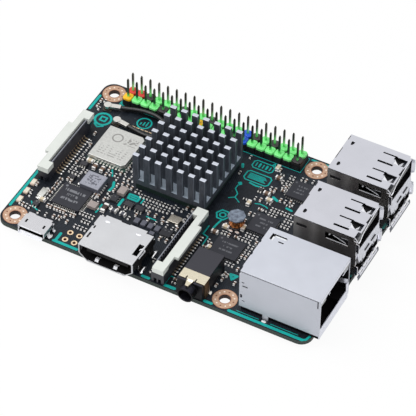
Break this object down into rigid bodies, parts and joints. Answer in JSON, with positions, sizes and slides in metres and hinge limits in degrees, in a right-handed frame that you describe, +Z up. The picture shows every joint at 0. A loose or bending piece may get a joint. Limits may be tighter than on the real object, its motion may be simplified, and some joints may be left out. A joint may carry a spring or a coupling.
{
  "type": "single board computer",
  "caption": "Small computer on one board: finned heatsink, colour-coded pin header, USB, network, video, power and audio sockets, ribbon cable connectors with lifting latches.",
  "frame": {"origin": "middle of the outer box in plan, on the surface that the board rests on", "axes": "+X towards the USB and network sockets, +Y towards the pin header, +Z up from the board"},
  "size_m": [0.087, 0.0582, 0.0182],
  "materials": {
    "board_laminate": "near-black solder mask over glass laminate",
    "black_aluminium": "black anodised, with bare fin ends",
    "black_plastic": "moulded, satin",
    "header_plastic": "moulded caps in several colours over a black strip",
    "plated_steel": "bright tin plate",
    "ivory_plastic": "moulded, satin",
    "cream_plate": "pale plated sheet",
    "chip_resin": "fine matt resin",
    "can_metal": "soft satin",
    "green_laminate": "dark green solder mask",
    "cable_jacket": "smooth black jacket",
    "gold_contact": "thin gold plate",
    "ceramic": "fired, fine matt",
    "ferrite": "slate grey, matt",
    "copper_wire": "enamelled copper",
    "thermal_pad": "soft, matt",
    "light_pipe": "clear"
  },
  "bodies": {
    "computer": {"board": "board_laminate", "processor": "chip_resin", "thermal_pad": "thermal_pad", "heatsink": "black_aluminium", "pin_header": "header_plastic", "usb_far_shell": "plated_steel", "usb_far_core": "black_plastic", "usb_middle_shell": "plated_steel", "usb_middle_core": "black_plastic", "network_shell": "plated_steel", "network_core": "black_plastic", "network_light_pipe_near": "light_pipe", "network_light_pipe_far": "light_pipe", "video_shell": "plated_steel", "video_core": "black_plastic", "power_shell": "plated_steel", "power_core": "black_plastic", "audio_body": "black_plastic", "audio_plate": "cream_plate", "camera_connector_housing": "black_plastic", "display_connector_housing": "black_plastic", "wireless_board": "green_laminate", "wireless_can": "can_metal", "aerial_lead": "cable_jacket", "aerial_socket_header_end": "gold_contact", "aerial_plug_header_end": "plated_steel", "aerial_socket_module_end": "gold_contact", "aerial_plug_module_end": "plated_steel", "drum_inductor_core": "ferrite", "drum_inductor_winding": "copper_wire", "audio_chip": "chip_resin", "network_chip": "chip_resin", "usb_hub_chip": "chip_resin", "power_switch_chip": "chip_resin", "card_power_chip": "chip_resin", "regulator_chip": "chip_resin", "supply_inductor": "ferrite", "core_inductor_near": "ceramic", "core_inductor_far": "ceramic", "network_crystal": "can_metal", "audio_crystal": "can_metal", "video_choke_1": "ferrite", "video_choke_2": "ferrite", "video_choke_3": "ferrite", "video_choke_4": "ferrite", "video_choke_end": "ferrite", "status_light_1": "ceramic", "status_light_2": "ceramic", "status_light_3": "ceramic", "memory_chip_left": "chip_resin", "memory_chip_right": "chip_resin", "card_socket_plate": "black_plastic", "card_socket_cover": "plated_steel"},
    "camera_latch": {"camera_connector_latch": "ivory_plastic"},
    "display_latch": {"display_connector_latch": "ivory_plastic"}
  },
  "joints": [
    {"name": "camera_latch_lift", "type": "slide", "parent": "computer", "child": "camera_latch", "axis": [0, 0, 1], "range_m": [0, 0.0012]},
    {"name": "display_latch_lift", "type": "slide", "parent": "computer", "child": "display_latch", "axis": [0, 0, 1], "range_m": [0, 0.0012]}
  ]
}
